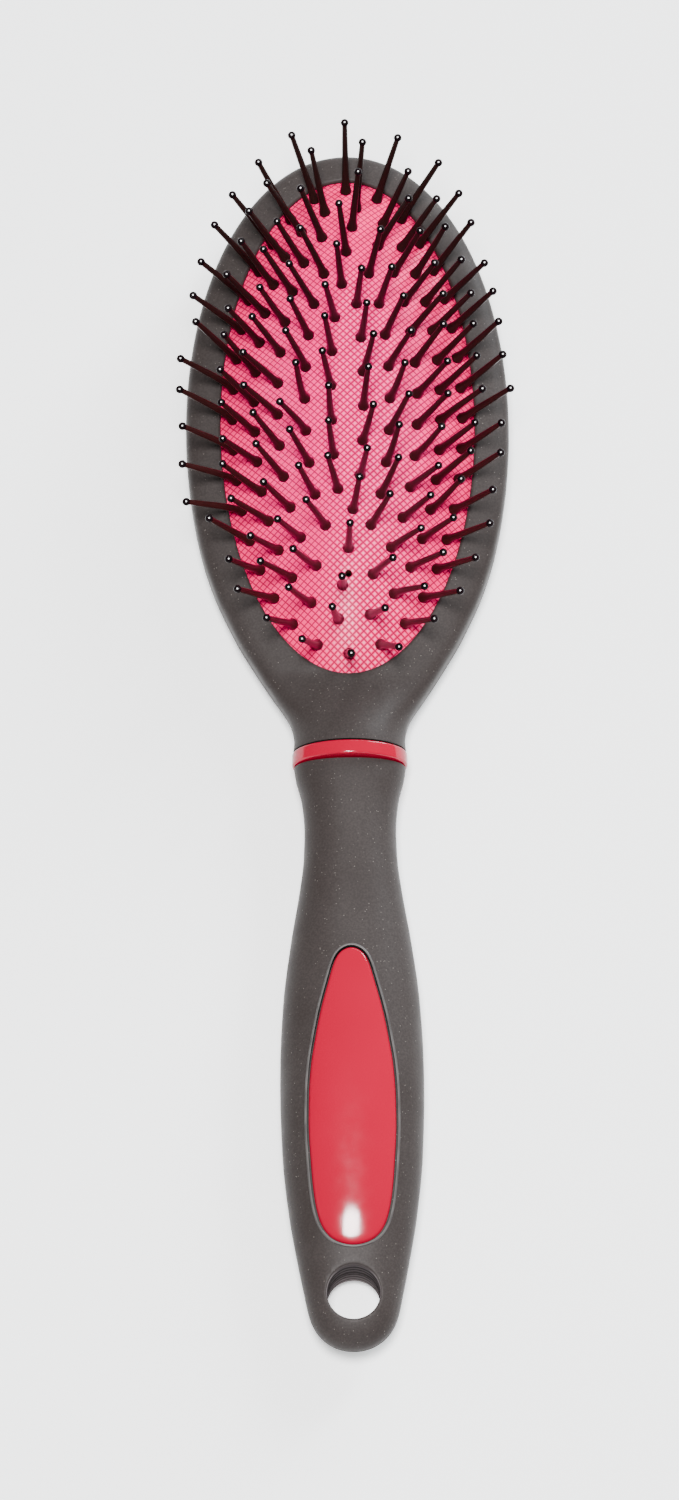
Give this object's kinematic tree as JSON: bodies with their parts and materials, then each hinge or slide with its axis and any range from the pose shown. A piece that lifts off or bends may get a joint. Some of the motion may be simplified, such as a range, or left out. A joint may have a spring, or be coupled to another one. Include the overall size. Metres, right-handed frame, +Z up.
{
  "type": "cushion hair brush",
  "caption": "Oval cushion hair brush with ball-tipped pins in a pneumatic pad, accent ring, glossy handle insert and a hanging hole.",
  "frame": {"origin": "on the surface that the brush lies on, under the middle of its bounding box", "axes": "+Z up out of the back, the way the pins point; +Y along the brush towards the head; +X across it"},
  "size_m": [0.0627, 0.238, 0.0358],
  "materials": {
    "soft_touch": "soft-touch coated, fine speckle",
    "cushion_rubber": "embossed weave, satin",
    "pin_nylon": "translucent dark maroon, glossy",
    "accent_plastic": "high gloss",
    "inner_plastic": "moulded"
  },
  "bodies": {
    "brush": {"head_frame": "soft_touch", "head_back_cover": "soft_touch", "cushion_tray": "inner_plastic", "cushion_rim": "cushion_rubber", "accent_ring": "accent_plastic", "neck_core": "inner_plastic", "handle_front_shell": "soft_touch", "handle_back_shell": "soft_touch", "handle_insert": "accent_plastic"},
    "cushion_oval_1": {"pin_ring_1": "cushion_rubber"},
    "cushion_oval_2": {"pin_ring_2": "cushion_rubber"},
    "cushion_oval_3": {"pin_ring_3": "cushion_rubber"},
    "cushion_oval_4": {"pin_ring_4": "cushion_rubber"},
    "cushion_oval_5": {"pin_ring_5": "cushion_rubber"}
  },
  "joints": [
    {"name": "cushion_press", "type": "slide", "parent": "brush", "child": "cushion_oval_5", "axis": [0, 0, -1], "range_m": [0, 0.0034], "stiffness_N_per_m": 900},
    {"name": "cushion_press_oval_4", "type": "slide", "parent": "brush", "child": "cushion_oval_4", "axis": [0, 0, -1], "range_m": [0, 0.0031], "stiffness_N_per_m": 700},
    {"name": "cushion_press_oval_3", "type": "slide", "parent": "brush", "child": "cushion_oval_3", "axis": [0, 0, -1], "range_m": [0, 0.0025], "stiffness_N_per_m": 700},
    {"name": "cushion_press_oval_2", "type": "slide", "parent": "brush", "child": "cushion_oval_2", "axis": [0, 0, -1], "range_m": [0, 0.0017], "stiffness_N_per_m": 700},
    {"name": "cushion_press_oval_1", "type": "slide", "parent": "brush", "child": "cushion_oval_1", "axis": [0, 0, -1], "range_m": [0, 0.0007], "stiffness_N_per_m": 700}
  ],
  "couplings": [
    {"joint": "cushion_press_oval_4", "follows": "cushion_press", "ratio": 0.9037},
    {"joint": "cushion_press_oval_3", "follows": "cushion_press", "ratio": 0.7123},
    {"joint": "cushion_press_oval_2", "follows": "cushion_press", "ratio": 0.4748},
    {"joint": "cushion_press_oval_1", "follows": "cushion_press", "ratio": 0.1949}
  ]
}
